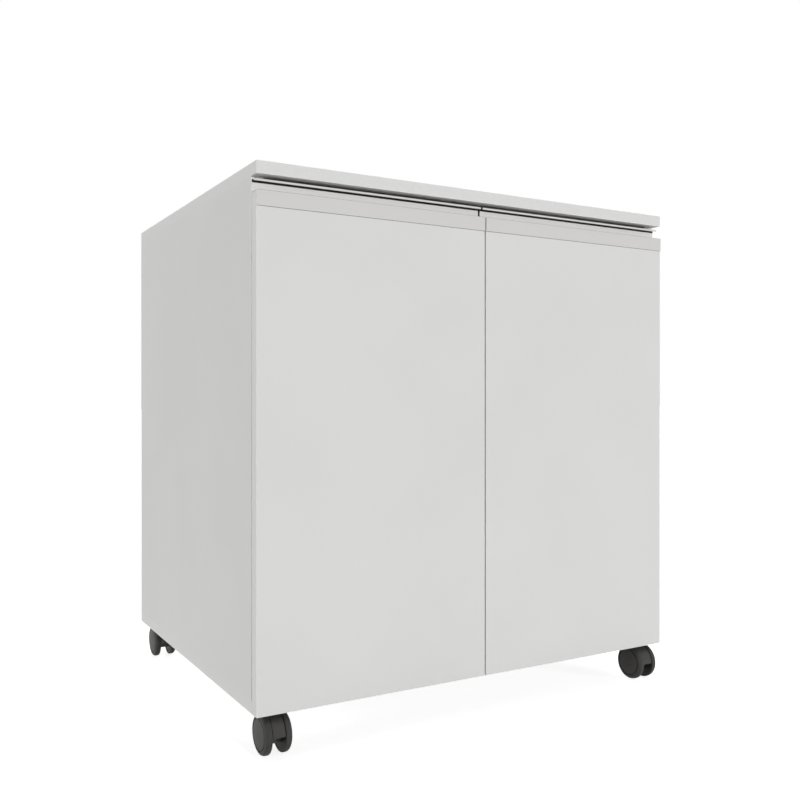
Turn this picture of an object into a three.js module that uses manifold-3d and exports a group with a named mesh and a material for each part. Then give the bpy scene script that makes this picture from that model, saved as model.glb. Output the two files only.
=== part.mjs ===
// Mobile base cabinet: a board carcass on four twin-wheel casters, with two overlay doors that
// hang on concealed cup hinges and open by an aluminium pull profile along their top edges.
// Millimetres, +X right, +Y back, +Z up. The origin is on the floor, under the middle of the box.

import * as THREE from 'three';
import { mergeVertices } from 'three/addons/utils/BufferGeometryUtils.js';
import Module from 'manifold-3d';

const wasm = await Module();
wasm.setup();

// Body, doors included
const bodyWidth = 630;
const bodyHeight = 630;
const bodyDepth = 518;
const boardThickness = 15;

// Doors
const doorThickness = 15;
const doorGap = 2;
const sideGap = 1.5;
const floorGap = 0.6;
const edgeRadius = 0.5;
const hingeAxisInset = 1.5;
const hingeAxisDepth = 6;

// Back panel, let into grooves
const backThickness = 3;
const backInset = 10;
const grooveDepth = 6;
const fitClearance = 0.3;

// Adjustable shelf and its pins
const shelfSetback = 25;
const shelfClearance = 1;
const pinRadius = 2.3;
const pinHoleRadius = 2.5;
const pinHoleDepth = 10;
const pinPitch = 32;
const pinRows = 5;
const pinShelfRow = 2;
const pinLowestRow = 220;
const pinFrontInset = 60;
const pinBackInset = 70;
const pinLedgeLength = 9;
const pinLedgeWidth = 10;
const pinLedgeThickness = 3;
const pinFlangeThickness = 1.5;
const pinFlangeHeight = 12;

// Pull profile on each door's top edge, and the bright lip that it carries
const profileWall = 1.2;
const capFlangeThickness = 1;
const capHeight = 18;
const fingerGap = 12.1;
const lipGap = 3.5;
const lipHeight = 2.8;
const lipDepth = 8.1;

// Concealed hinges
const hingeInset = 100;
const cupEdgeDistance = 5;
const cupRadius = 17.5;
const cupDepth = 11.5;
const cupWall = 1.2;
const cupFlangeRadius = 20.5;
const cupFlangeThickness = 1;
const plateSetback = 37;
const plateThickness = 3;
const plateLength = 44;
const plateHeight = 16;
const wingLength = 16;
const wingHeight = 50;
const railLength = 32;
const railHeight = 11;
const railThickness = 3;
const armHeight = 13;
const armThickness = 8.5;
const armRearOverhang = 2;
const armBevel = 3;
const armNeckLength = 16;
const armNeckOffset = 1.5;
const noseReach = 8.2;
const noseWallGap = 0.2;
const noseSlant = 0.5;
const noseShoulder = 4;

// Casters
const wheelRadius = 24;
const wheelInnerFace = 8.4;
const wheelOuterFace = 17.9;
const treadStart = 9.6;
const treadEnd = 13.8;
const faceRadius = 19;
const faceEdge = 16.9;
const faceGrooveDepth = 0.7;
const faceGrooveWidth = 1.4;
const domeRadiusShare = 0.5;
const domeHeightShare = 0.75;
const rimRounding = 1;
const axleRadius = 3;
const wheelClearance = 0.3;
const axlePressClearance = 0.1;
const boreFloor = 2.6;
const casterTrail = 17;
const casterSideInset = 27;
const frontCasterInset = 37.5;
const rearCasterInset = 45.5;
const housingWidth = 15.8;
const hoodClearance = 0.5;
const hubRadius = 12.5;
const bossRadius = 9;
const bossHeight = 15;
const kingpinRadius = 4;
const kingpinLength = 13.8;
const kingpinFlangeRadius = 7;
const kingpinFlangeThickness = 1.2;
const casterPlateSize = 38;
const casterPlateThickness = 2;
const plateCornerRadius = 4;
const screwHoleRadius = 2.2;
const screwSpacing = 27;

// How finely the round shapes are cut into facets
const wheelSides = 28;
const cupSides = 24;
const boreSides = 28;
const smallSides = 12;
const hoodSteps = 8;
const cornerSteps = 3;
const shoulderSteps = 4;

// Extra length of every cutting tool past the face that it cuts through
const overrun = 1;

// Places that follow from the sizes above. A caster is as high as its wheels, kingpin flange and plate.
const kingpinFlangeBottom = wheelRadius * 2 - hoodClearance + wheelClearance;
const casterHeight = kingpinFlangeBottom + kingpinFlangeThickness + casterPlateThickness;
const frontWheelOverhang = wheelRadius + casterTrail - frontCasterInset;
const frontY = (frontWheelOverhang - bodyDepth) / 2;
const backY = frontY + bodyDepth;
const bodyBottom = casterHeight;
const bodyTop = casterHeight + bodyHeight;
const insideBottom = bodyBottom + boardThickness;
const insideTop = bodyTop - boardThickness;
const insideHalfWidth = bodyWidth / 2 - boardThickness;
const doorBackY = frontY + doorThickness;
const sideFrontY = doorBackY + sideGap;
const floorFrontY = doorBackY + floorGap;
const grooveBackY = backY - backInset + fitClearance;
const grooveFrontY = backY - backInset - backThickness - fitClearance;
const lipTop = insideTop - lipGap;
const capTop = lipTop - lipHeight - fingerGap;
const doorTop = capTop - profileWall;
const doorWidth = (bodyWidth - doorGap) / 2;
const wheelAxisHeight = wheelRadius;

const melamine = { color: '#d9d8d6', roughness: 0.5, metalness: 0 };
const backBoard = { color: '#dedddb', roughness: 0.6, metalness: 0 };
const profilePaint = { color: '#d0cfcd', roughness: 0.4, metalness: 0.1 };
const brightAluminium = { color: '#d5d6d7', roughness: 0.25, metalness: 1 };
const nickelSteel = { color: '#b9bbbd', roughness: 0.35, metalness: 1 };
const zincSteel = { color: '#a4a7aa', roughness: 0.4, metalness: 1 };
const casterPlastic = { color: '#3b3a39', roughness: 0.55, metalness: 0 };
const wheelPlastic = { color: '#4b4a49', roughness: 0.55, metalness: 0 };

function named(name, geometry, finish) {
  const mesh = new THREE.Mesh(geometry, new THREE.MeshStandardMaterial(finish));
  mesh.name = name;
  return mesh;
}

function boxBetween(low, high) {
  const geometry = new THREE.BoxGeometry(high[0] - low[0], high[1] - low[1], high[2] - low[2]);
  geometry.translate((low[0] + high[0]) / 2, (low[1] + high[1]) / 2, (low[2] + high[2]) / 2);
  return geometry;
}

// A cylinder from one end to the other along X, Y or Z.
function rodAlong(axis, from, to, centre, radius, sides) {
  const geometry = new THREE.CylinderGeometry(radius, radius, to - from, sides);
  geometry.translate(0, (from + to) / 2, 0);
  if (axis === 'x') geometry.rotateZ(-Math.PI / 2);
  if (axis === 'z') geometry.rotateX(Math.PI / 2);
  geometry.translate(...centre);
  return geometry;
}

// A plan outline raised from one height to another.
function raised(outline, fromZ, toZ) {
  const shape = new THREE.Shape(outline.map(([x, y]) => new THREE.Vector2(x, y)));
  const geometry = new THREE.ExtrudeGeometry(shape, { depth: toZ - fromZ, bevelEnabled: false });
  geometry.translate(0, 0, fromZ);
  return geometry;
}

// A section in the Y-Z plane drawn out from one X to another.
function drawnOut(section, fromX, toX) {
  const shape = new THREE.Shape(section.map(([y, z]) => new THREE.Vector2(y, z)));
  const geometry = new THREE.ExtrudeGeometry(shape, { depth: toX - fromX, bevelEnabled: false });
  const turn = new THREE.Matrix4().makeBasis(
    new THREE.Vector3(0, 1, 0),
    new THREE.Vector3(0, 0, 1),
    new THREE.Vector3(1, 0, 0),
  );
  geometry.applyMatrix4(turn);
  geometry.translate(fromX, 0, 0);
  return geometry;
}

// A profile of [radius, height] points turned about the Y axis.
function turned(profile, sides) {
  return new THREE.LatheGeometry(profile.map(([r, h]) => new THREE.Vector2(r, h)), sides);
}

function arcPoints(centre, radius, fromDegrees, toDegrees, steps) {
  const points = [];
  for (let step = 0; step <= steps; step += 1) {
    const angle = THREE.MathUtils.degToRad(fromDegrees + (toDegrees - fromDegrees) * step / steps);
    points.push([centre[0] + radius * Math.cos(angle), centre[1] + radius * Math.sin(angle)]);
  }
  return points;
}

function solidFrom(geometry) {
  const bare = geometry.clone();
  bare.deleteAttribute('normal');
  bare.deleteAttribute('uv');
  const merged = mergeVertices(bare);
  return new wasm.Manifold(new wasm.Mesh({
    numProp: 3,
    vertProperties: new Float32Array(merged.attributes.position.array),
    triVerts: new Uint32Array(merged.index.array),
  }));
}

function geometryFrom(solid) {
  const mesh = solid.getMesh();
  const geometry = new THREE.BufferGeometry();
  geometry.setAttribute('position', new THREE.BufferAttribute(mesh.vertProperties, mesh.numProp));
  geometry.setIndex(new THREE.BufferAttribute(mesh.triVerts, 1));
  geometry.computeVertexNormals();
  return geometry;
}

function cut(base, tools) {
  return geometryFrom(tools.reduce((solid, tool) => solid.subtract(solidFrom(tool)), solidFrom(base)));
}

function joined(pieces) {
  const [first, ...others] = pieces.map(solidFrom);
  return geometryFrom(others.reduce((solid, other) => solid.add(other), first));
}

// The top and the bottom lie across the side panels, over the whole width.
function topPanel() {
  const board = boxBetween([-bodyWidth / 2, frontY, insideTop], [bodyWidth / 2, backY, bodyTop]);
  const groove = boxBetween(
    [-insideHalfWidth - grooveDepth, grooveFrontY, insideTop - overrun],
    [insideHalfWidth + grooveDepth, grooveBackY, insideTop + grooveDepth],
  );
  return named('top_panel', cut(board, [groove]), melamine);
}

function bottomPanel() {
  const board = boxBetween([-bodyWidth / 2, floorFrontY, bodyBottom], [bodyWidth / 2, backY, insideBottom]);
  const groove = boxBetween(
    [-insideHalfWidth - grooveDepth, grooveFrontY, insideBottom - grooveDepth],
    [insideHalfWidth + grooveDepth, grooveBackY, insideBottom + overrun],
  );
  return named('bottom_panel', cut(board, [groove]), melamine);
}

// A side panel has the back panel's groove and two columns of shelf pin holes in its inner face.
function sidePanel(name, side) {
  const inner = side * insideHalfWidth;
  const outer = side * bodyWidth / 2;
  const board = boxBetween(
    [Math.min(inner, outer), sideFrontY, insideBottom],
    [Math.max(inner, outer), backY, insideTop],
  );
  const grooveEnds = [inner - side * overrun, inner + side * grooveDepth];
  const tools = [boxBetween(
    [Math.min(...grooveEnds), grooveFrontY, insideBottom - overrun],
    [Math.max(...grooveEnds), grooveBackY, insideTop + overrun],
  )];
  const holeEnds = [inner - side * overrun, inner + side * pinHoleDepth];
  for (const y of pinColumns()) {
    for (let row = 0; row < pinRows; row += 1) {
      tools.push(rodAlong(
        'x',
        Math.min(...holeEnds),
        Math.max(...holeEnds),
        [0, y, pinHeight(row)],
        pinHoleRadius,
        smallSides,
      ));
    }
  }
  return named(name, cut(board, tools), melamine);
}

function backPanel() {
  const reach = grooveDepth - fitClearance;
  const board = boxBetween(
    [-insideHalfWidth - reach, grooveFrontY + fitClearance, insideBottom - reach],
    [insideHalfWidth + reach, grooveBackY - fitClearance, insideTop + reach],
  );
  return named('back_panel', board, backBoard);
}

function pinColumns() {
  return [sideFrontY + pinFrontInset, grooveFrontY - pinBackInset];
}

function pinHeight(row) {
  return insideBottom + pinLowestRow + row * pinPitch;
}

function shelf() {
  const underside = pinHeight(pinShelfRow) + pinLedgeThickness / 2;
  const board = boxBetween(
    [-insideHalfWidth + shelfClearance, sideFrontY + shelfSetback, underside],
    [insideHalfWidth - shelfClearance, grooveFrontY - shelfClearance, underside + boardThickness],
  );
  return named('shelf', board, melamine);
}

// A shelf pin: a round stem in the side panel, a flange against it and a ledge under the shelf.
function shelfPin(name, side, y) {
  const height = pinHeight(pinShelfRow);
  const inner = side * insideHalfWidth;
  const ledgeEnds = [inner, inner - side * pinLedgeLength];
  const flangeEnds = [inner, inner - side * pinFlangeThickness];
  const stemEnds = [inner - side * pinFlangeThickness / 2, inner + side * (pinHoleDepth - fitClearance)];
  const ledgeTop = height + pinLedgeThickness / 2;
  const ledge = boxBetween(
    [Math.min(...ledgeEnds), y - pinLedgeWidth / 2, ledgeTop - pinLedgeThickness],
    [Math.max(...ledgeEnds), y + pinLedgeWidth / 2, ledgeTop],
  );
  const flange = boxBetween(
    [Math.min(...flangeEnds), y - pinLedgeWidth / 2, ledgeTop - pinFlangeHeight],
    [Math.max(...flangeEnds), y + pinLedgeWidth / 2, ledgeTop],
  );
  const stem = rodAlong(
    'x',
    Math.min(...stemEnds),
    Math.max(...stemEnds),
    [0, y, height],
    pinRadius,
    smallSides,
  );
  return named(name, joined([ledge, flange, stem]), nickelSteel);
}

// Hinge and door places are given from a door's outer edge inwards and from the front plane back.
function doorPoint(side, fromEdge, fromFront) {
  return [side * (bodyWidth / 2 - fromEdge), frontY + fromFront];
}

function cupCentre(side) {
  return doorPoint(side, cupEdgeDistance + cupRadius, doorThickness);
}

function hingeHeights() {
  return { lower: bodyBottom + hingeInset, upper: capTop - hingeInset };
}

// A door's back edge on the hinge side is eased, so that it clears the carcass as it swings.
function doorPanel(name, side) {
  const outline = [
    doorPoint(side, 0, 0),
    doorPoint(side, doorWidth, 0),
    doorPoint(side, doorWidth, doorThickness),
    doorPoint(side, edgeRadius, doorThickness),
    doorPoint(side, 0, doorThickness - edgeRadius),
  ];
  const [x] = cupCentre(side);
  const bores = Object.values(hingeHeights()).map((z) => rodAlong(
    'y',
    doorBackY - cupDepth - fitClearance,
    doorBackY + overrun,
    [x, 0, z],
    cupRadius + fitClearance,
    boreSides,
  ));
  return named(name, cut(raised(outline, bodyBottom, doorTop), bores), melamine);
}

// The pull profile straddles the door's top edge and rises behind it to carry the lip.
function pullProfile(name, side) {
  const capFront = frontY - capFlangeThickness;
  const capBack = doorBackY + profileWall;
  const section = [
    [capFront, capTop - capHeight],
    [frontY, capTop - capHeight],
    [frontY, doorTop],
    [doorBackY, doorTop],
    [doorBackY, capTop - capHeight],
    [capBack, capTop - capHeight],
    [capBack, lipTop - profileWall],
    [doorBackY, lipTop - profileWall],
    [doorBackY, capTop],
    [capFront, capTop],
  ];
  return named(name, drawnOut(section, ...doorSpan(side)), profilePaint);
}

function pullLip(name, side) {
  const lipBack = doorBackY + profileWall;
  const lipFront = lipBack - lipDepth;
  const section = [
    [lipFront, lipTop - lipHeight],
    [lipFront + profileWall, lipTop - lipHeight],
    [lipFront + profileWall, lipTop - profileWall],
    [lipBack, lipTop - profileWall],
    [lipBack, lipTop],
    [lipFront, lipTop],
  ];
  return named(name, drawnOut(section, ...doorSpan(side)), brightAluminium);
}

function doorSpan(side) {
  const ends = [side * bodyWidth / 2, side * (bodyWidth / 2 - doorWidth)];
  return [Math.min(...ends), Math.max(...ends)];
}

// A cup hinge has a pressed cup in the door, an arm on the cabinet and the plate that carries it.
function hingeCup(name, side, z) {
  const cup = turned([
    [0, -cupDepth],
    [cupRadius, -cupDepth],
    [cupRadius, 0],
    [cupFlangeRadius, 0],
    [cupFlangeRadius, cupFlangeThickness],
    [cupRadius - cupWall, cupFlangeThickness],
    [cupRadius - cupWall, cupWall - cupDepth],
    [0, cupWall - cupDepth],
  ], cupSides);
  const mesh = named(name, cup, nickelSteel);
  mesh.position.set(cupCentre(side)[0], doorBackY, z);
  return mesh;
}

function plateCentreY() {
  return sideFrontY + plateSetback;
}

function hingePlate(name, side, z) {
  const inner = side * insideHalfWidth;
  const y = plateCentreY();
  const slab = (length, height, from, to) => {
    const ends = [inner - side * from, inner - side * to];
    return boxBetween(
      [Math.min(...ends), y - length / 2, z - height / 2],
      [Math.max(...ends), y + length / 2, z + height / 2],
    );
  };
  const pieces = [
    slab(plateLength, plateHeight, 0, plateThickness),
    slab(wingLength, wingHeight, 0, plateThickness),
    slab(railLength, railHeight, plateThickness / 2, plateThickness + railThickness),
  ];
  return named(name, joined(pieces), nickelSteel);
}

// The arm lies on the plate's rail, passes the side panel's front edge and dips into the cup.
function hingeArm(name, side, z) {
  const seat = boardThickness + plateThickness + railThickness;
  const crest = seat + armThickness;
  const wall = boardThickness;
  const neck = doorThickness + sideGap;
  const noseTip = doorThickness - noseReach;
  const rear = neck + plateSetback + railLength / 2 + armRearOverhang;
  const outline = [
    [wall - noseWallGap, noseTip + noseSlant],
    [seat, noseTip],
    [crest - armBevel, noseTip + armBevel],
    [crest, neck],
    [crest, rear - armThickness],
    [crest - armBevel, rear],
    [seat, rear],
    [seat, neck + armNeckLength],
    [wall + armNeckOffset, neck + armBevel],
    [wall - noseWallGap, neck - noseShoulder],
  ].map(([fromEdge, fromFront]) => doorPoint(side, fromEdge, fromFront));
  return named(name, raised(outline, z - armHeight / 2, z + armHeight / 2), nickelSteel);
}

// A caster: a screwed plate and its kingpin, a housing that swivels on it, an axle and two wheels.
function casterPlate(name) {
  const half = casterPlateSize / 2;
  const corner = half - plateCornerRadius;
  const outline = [
    ...arcPoints([corner, corner], plateCornerRadius, 0, 90, cornerSteps),
    ...arcPoints([-corner, corner], plateCornerRadius, 90, 180, cornerSteps),
    ...arcPoints([-corner, -corner], plateCornerRadius, 180, 270, cornerSteps),
    ...arcPoints([corner, -corner], plateCornerRadius, 270, 360, cornerSteps),
  ];
  const top = bodyBottom;
  const bottom = bodyBottom - casterPlateThickness;
  const holes = [];
  for (const alongX of [-screwSpacing / 2, screwSpacing / 2]) {
    for (const alongY of [-screwSpacing / 2, screwSpacing / 2]) {
      holes.push(rodAlong(
        'z',
        bottom - overrun,
        top + overrun,
        [alongX, alongY, 0],
        screwHoleRadius,
        smallSides,
      ));
    }
  }
  return named(name, cut(raised(outline, bottom, top), holes), zincSteel);
}

function casterKingpin(name) {
  const top = bodyBottom - casterPlateThickness;
  const pin = turned([
    [0, kingpinFlangeBottom - kingpinLength],
    [kingpinRadius, kingpinFlangeBottom - kingpinLength],
    [kingpinRadius, kingpinFlangeBottom],
    [kingpinFlangeRadius, kingpinFlangeBottom],
    [kingpinFlangeRadius, top],
    [0, top],
  ], cupSides);
  pin.rotateX(Math.PI / 2);
  return named(name, pin, zincSteel);
}

// The housing's hood follows the wheels' rim over the trailing side, and its hub holds the axle.
function casterHousing(name, trailing) {
  const hoodRadius = wheelRadius - hoodClearance;
  const axleCentre = [casterTrail, wheelAxisHeight];
  const bossBottom = wheelAxisHeight + hoodRadius - bossHeight;
  const outline = [
    ...arcPoints(axleCentre, hoodRadius, 0, 90, hoodSteps),
    [-bossRadius, wheelAxisHeight + hoodRadius],
    [-bossRadius, bossBottom],
    ...arcPoints(axleCentre, hubRadius, 200, 360, hoodSteps),
  ].map(([trail, z]) => [trailing * trail, z]);
  const body = drawnOut(outline, -housingWidth / 2, housingWidth / 2);
  const axleHole = rodAlong(
    'x',
    -housingWidth / 2 - overrun,
    housingWidth / 2 + overrun,
    [0, trailing * casterTrail, wheelAxisHeight],
    axleRadius + axlePressClearance,
    smallSides,
  );
  const pinBottom = kingpinFlangeBottom - kingpinLength - fitClearance;
  const pinHole = rodAlong(
    'z',
    pinBottom,
    wheelAxisHeight + hoodRadius + overrun,
    [0, 0, 0],
    kingpinRadius + fitClearance,
    cupSides,
  );
  return named(name, cut(body, [axleHole, pinHole]), casterPlastic);
}

function casterAxle(name, trailing) {
  const half = wheelOuterFace - boreFloor - fitClearance;
  const mesh = named(name, rodAlong('x', -half, half, [0, 0, 0], axleRadius, smallSides), zincSteel);
  mesh.position.set(0, trailing * casterTrail, wheelAxisHeight);
  return mesh;
}

// A wheel's outer face is closed and slightly domed, with a fine groove round its cap.
function casterWheel(name, outward, trailing) {
  const boreRadius = axleRadius + wheelClearance;
  const boreEnd = wheelOuterFace - boreFloor;
  const shoulder = arcPoints([0, 0], 1, 90, 0, shoulderSteps).slice(1).map(([along, out]) => [
    faceRadius + (wheelRadius - faceRadius) * out,
    treadEnd + (faceEdge - treadEnd) * along,
  ]);
  const wheel = turned([
    [0, boreEnd],
    [boreRadius, boreEnd],
    [boreRadius, wheelInnerFace],
    [wheelRadius - rimRounding, wheelInnerFace],
    [wheelRadius, treadStart],
    [wheelRadius, treadEnd],
    ...shoulder,
    [faceRadius - faceGrooveWidth / 2, faceEdge - faceGrooveDepth],
    [faceRadius - faceGrooveWidth, faceEdge],
    [faceRadius * domeRadiusShare, faceEdge + (wheelOuterFace - faceEdge) * domeHeightShare],
    [0, wheelOuterFace],
  ], wheelSides);
  wheel.rotateZ(-outward * Math.PI / 2);
  const mesh = named(name, wheel, wheelPlastic);
  mesh.position.set(0, trailing * casterTrail, wheelAxisHeight);
  return mesh;
}

function carcass() {
  const group = new THREE.Group();
  group.add(topPanel(), bottomPanel(), sidePanel('left_side_panel', -1), sidePanel('right_side_panel', 1));
  group.add(backPanel(), shelf());
  const [front, back] = pinColumns();
  for (const [place, y] of Object.entries({ front, back })) {
    group.add(shelfPin(`${place}_left_shelf_pin`, -1, y), shelfPin(`${place}_right_shelf_pin`, 1, y));
  }
  return group;
}

// A door's group stands on the axis that the door swings about, inside its hinge edge.
function door(sideName, side) {
  const group = new THREE.Group();
  const [axisX, axisY] = doorPoint(side, hingeAxisInset, hingeAxisDepth);
  group.position.set(axisX, axisY, 0);
  group.add(doorPanel(`${sideName}_door_panel`, side));
  group.add(pullProfile(`${sideName}_pull_profile`, side), pullLip(`${sideName}_pull_lip`, side));
  for (const [level, z] of Object.entries(hingeHeights())) {
    group.add(hingeCup(`${level}_${sideName}_hinge_cup`, side, z));
  }
  for (const mesh of group.children) {
    mesh.position.x -= axisX;
    mesh.position.y -= axisY;
  }
  return group;
}

function hingeArms(sideName, side) {
  const group = new THREE.Group();
  for (const [level, z] of Object.entries(hingeHeights())) {
    group.add(hingePlate(`${level}_${sideName}_hinge_plate`, side, z));
    group.add(hingeArm(`${level}_${sideName}_hinge_arm`, side, z));
  }
  return group;
}

// A caster's group stands on its swivel axis, and the wheels trail towards the front or the back.
function caster(place, side, y, trailing) {
  const group = new THREE.Group();
  group.position.set(side * (bodyWidth / 2 - casterSideInset), y, 0);
  group.add(casterPlate(`${place}_caster_plate`), casterKingpin(`${place}_caster_kingpin`));
  group.add(casterHousing(`${place}_caster_housing`, trailing));
  group.add(casterAxle(`${place}_caster_axle`, trailing));
  group.add(casterWheel(`${place}_outer_wheel`, side, trailing));
  group.add(casterWheel(`${place}_inner_wheel`, -side, trailing));
  return group;
}

const cabinet = new THREE.Group();
cabinet.add(carcass());
for (const [sideName, side] of [['left', -1], ['right', 1]]) {
  cabinet.add(door(sideName, side), hingeArms(sideName, side));
  cabinet.add(caster(`front_${sideName}`, side, frontY + frontCasterInset, -1));
  cabinet.add(caster(`back_${sideName}`, side, backY - rearCasterInset, 1));
}

export default cabinet;
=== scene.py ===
import math

import bmesh
import bpy
from mathutils import Matrix, Vector


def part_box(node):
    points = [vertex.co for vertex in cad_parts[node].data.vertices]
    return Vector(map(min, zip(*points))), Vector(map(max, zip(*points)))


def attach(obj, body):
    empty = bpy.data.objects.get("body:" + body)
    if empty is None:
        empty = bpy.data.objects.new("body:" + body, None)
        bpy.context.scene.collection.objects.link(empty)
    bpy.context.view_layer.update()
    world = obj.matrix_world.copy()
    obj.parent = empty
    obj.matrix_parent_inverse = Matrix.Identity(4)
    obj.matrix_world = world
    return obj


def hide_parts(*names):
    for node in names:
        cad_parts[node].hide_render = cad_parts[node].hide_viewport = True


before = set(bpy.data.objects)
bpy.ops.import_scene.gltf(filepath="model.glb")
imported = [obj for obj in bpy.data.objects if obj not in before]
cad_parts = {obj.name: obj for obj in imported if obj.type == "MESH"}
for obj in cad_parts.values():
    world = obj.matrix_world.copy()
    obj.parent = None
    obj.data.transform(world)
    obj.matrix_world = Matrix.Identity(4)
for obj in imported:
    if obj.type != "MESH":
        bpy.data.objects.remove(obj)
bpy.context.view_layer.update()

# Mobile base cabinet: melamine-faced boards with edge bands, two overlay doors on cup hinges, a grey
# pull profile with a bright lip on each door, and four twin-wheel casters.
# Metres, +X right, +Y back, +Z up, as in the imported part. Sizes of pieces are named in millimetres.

MM = 0.001
SIDES = {"left": -1, "right": 1}
ENDS = {"front": -1, "back": 1}
LEVELS = ("lower", "upper")
X, Y, Z = Vector((1, 0, 0)), Vector((0, 1, 0)), Vector((0, 0, 1))

# Points closer than WELD are one. A point is on a plane when it is nearer than NEAR, and a face looks along
# an axis when its normal goes that way by more than FACING.
WELD = 1e-6
NEAR = 0.01 * MM
FACING = 0.5


# Camera, level, at the cabinet's front left

CAMERA_PLACE = (-0.68134, -1.21498, 0.40974)
CAMERA_TURN = math.radians(-30)
CAMERA_LENS = 40.455
SENSOR_WIDTH = 36


def make_camera():
    camera = bpy.data.objects.new("camera", bpy.data.cameras.new("camera"))
    camera.data.lens = CAMERA_LENS
    camera.data.sensor_width = SENSOR_WIDTH
    camera.location = CAMERA_PLACE
    camera.rotation_euler = (math.pi / 2, 0, CAMERA_TURN)
    bpy.context.scene.collection.objects.link(camera)
    bpy.context.scene.camera = camera


# Colours and shader nodes

def srgb(code):
    """A hex sRGB colour as linear red, green, blue and alpha."""
    shares = [int(code[start:start + 2], 16) / 255 for start in (1, 3, 5)]
    linear = [s / 12.92 if s <= 0.04045 else ((s + 0.055) / 1.055) ** 2.4 for s in shares]
    return (*linear, 1.0)


def add_node(tree, kind, values=None, links=None, stops=(), **settings):
    """Adds a shader node with its sockets' values, what feeds its sockets, its colour stops and settings."""
    node = tree.nodes.new(kind)
    for name, value in settings.items():
        setattr(node, name, value)
    for socket, value in (values or {}).items():
        node.inputs[socket].default_value = value
    for socket, source in (links or {}).items():
        tree.links.new(source, node.inputs[socket])
    for element, (position, colour) in zip(node.color_ramp.elements if stops else (), stops):
        element.position = position
        element.color = srgb(colour)
    return node


def blank_material(name):
    material = bpy.data.materials.new(name)
    material.use_nodes = True
    material.node_tree.nodes.clear()
    return material, material.node_tree


def per_mm(width):
    """The texture scale that gives a pattern this many millimetres from one feature to the next."""
    return 1 / (width * MM)


def end_material(tree, tint, stops, grain, roughness, bump, values):
    """Ends a material with a shader whose look varies with two patterns.

    tint picks the colour between the stops. grain sets the roughness between its least and its most, and
    raises the relief, for which bump gives a strength and a height in millimetres.
    """
    tone = add_node(tree, "ShaderNodeValToRGB", links={"Fac": tint.outputs["Fac"]}, stops=stops)
    gloss = add_node(tree, "ShaderNodeMapRange", {"To Min": roughness[0], "To Max": roughness[1]},
                     {"Value": grain.outputs["Fac"]})
    relief = add_node(tree, "ShaderNodeBump", {"Strength": bump[0], "Distance": bump[1] * MM},
                      {"Height": grain.outputs["Fac"]})
    shader = add_node(tree, "ShaderNodeBsdfPrincipled", values,
                      {"Base Color": tone.outputs["Color"], "Roughness": gloss.outputs["Result"],
                       "Normal": relief.outputs["Normal"]})
    add_node(tree, "ShaderNodeOutputMaterial", links={"Surface": shader.outputs["BSDF"]})


# Materials of the boards

def melamine_board():
    """Melamine resin paper, pressed on board by a matt plate: an even white with a soft, low sheen.

    The plate's pearl is about 0.3 mm wide. It is drawn 2.5 mm wide, as coarse as it needs to show.
    """
    material, tree = blank_material("melamine_faced_board")
    place = add_node(tree, "ShaderNodeTexCoord").outputs["Object"]
    cloud = add_node(tree, "ShaderNodeTexNoise", {"Scale": per_mm(140), "Detail": 2}, {"Vector": place})
    pearl = add_node(tree, "ShaderNodeTexNoise", {"Scale": per_mm(2.5), "Detail": 2}, {"Vector": place})
    end_material(tree, tint=cloud, stops=((0.35, "#dfdfde"), (0.65, "#e1e1e0")), grain=pearl,
                 roughness=(0.58, 0.7), bump=(0.5, 0.02), values={"IOR": 1.5, "Specular IOR Level": 0.3})
    return material


def edge_band():
    """ABS edge band, glued on, trimmed and buffed: a little brighter and smoother than the board's face.

    The scraper leaves faint ripples across the band about 4 mm apart.
    """
    material, tree = blank_material("abs_edge_band")
    place = add_node(tree, "ShaderNodeTexCoord").outputs["Object"]
    ripple = add_node(tree, "ShaderNodeTexNoise", {"Scale": per_mm(4), "Detail": 1}, {"Vector": place})
    end_material(tree, tint=ripple, stops=((0.3, "#dfdfde"), (0.7, "#e2e2e1")), grain=ripple,
                 roughness=(0.52, 0.62), bump=(0.4, 0.02), values={"IOR": 1.54, "Specular IOR Level": 0.3})
    return material


def painted_highlight_rim():
    """The rim of an ABS edge band, painted a lighter white than the band as a painted highlight on its eased
    edge.
    """
    material, tree = blank_material("band_rim_painted_highlight")
    place = add_node(tree, "ShaderNodeTexCoord").outputs["Object"]
    highlight_noise = add_node(tree, "ShaderNodeTexNoise", {"Scale": per_mm(9), "Detail": 2}, {"Vector": place})
    tone = add_node(tree, "ShaderNodeValToRGB", links={"Fac": highlight_noise.outputs["Fac"]},
                    stops=((0.3, "#eeeeed"), (0.7, "#f4f4f3")))
    gloss = add_node(tree, "ShaderNodeMapRange", {"To Min": 0.4, "To Max": 0.5},
                     {"Value": highlight_noise.outputs["Fac"]})
    shader = add_node(tree, "ShaderNodeBsdfPrincipled", {"IOR": 1.54},
                      {"Base Color": tone.outputs["Color"], "Roughness": gloss.outputs["Result"]})
    add_node(tree, "ShaderNodeOutputMaterial", links={"Surface": shader.outputs["BSDF"]})
    return material


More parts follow.
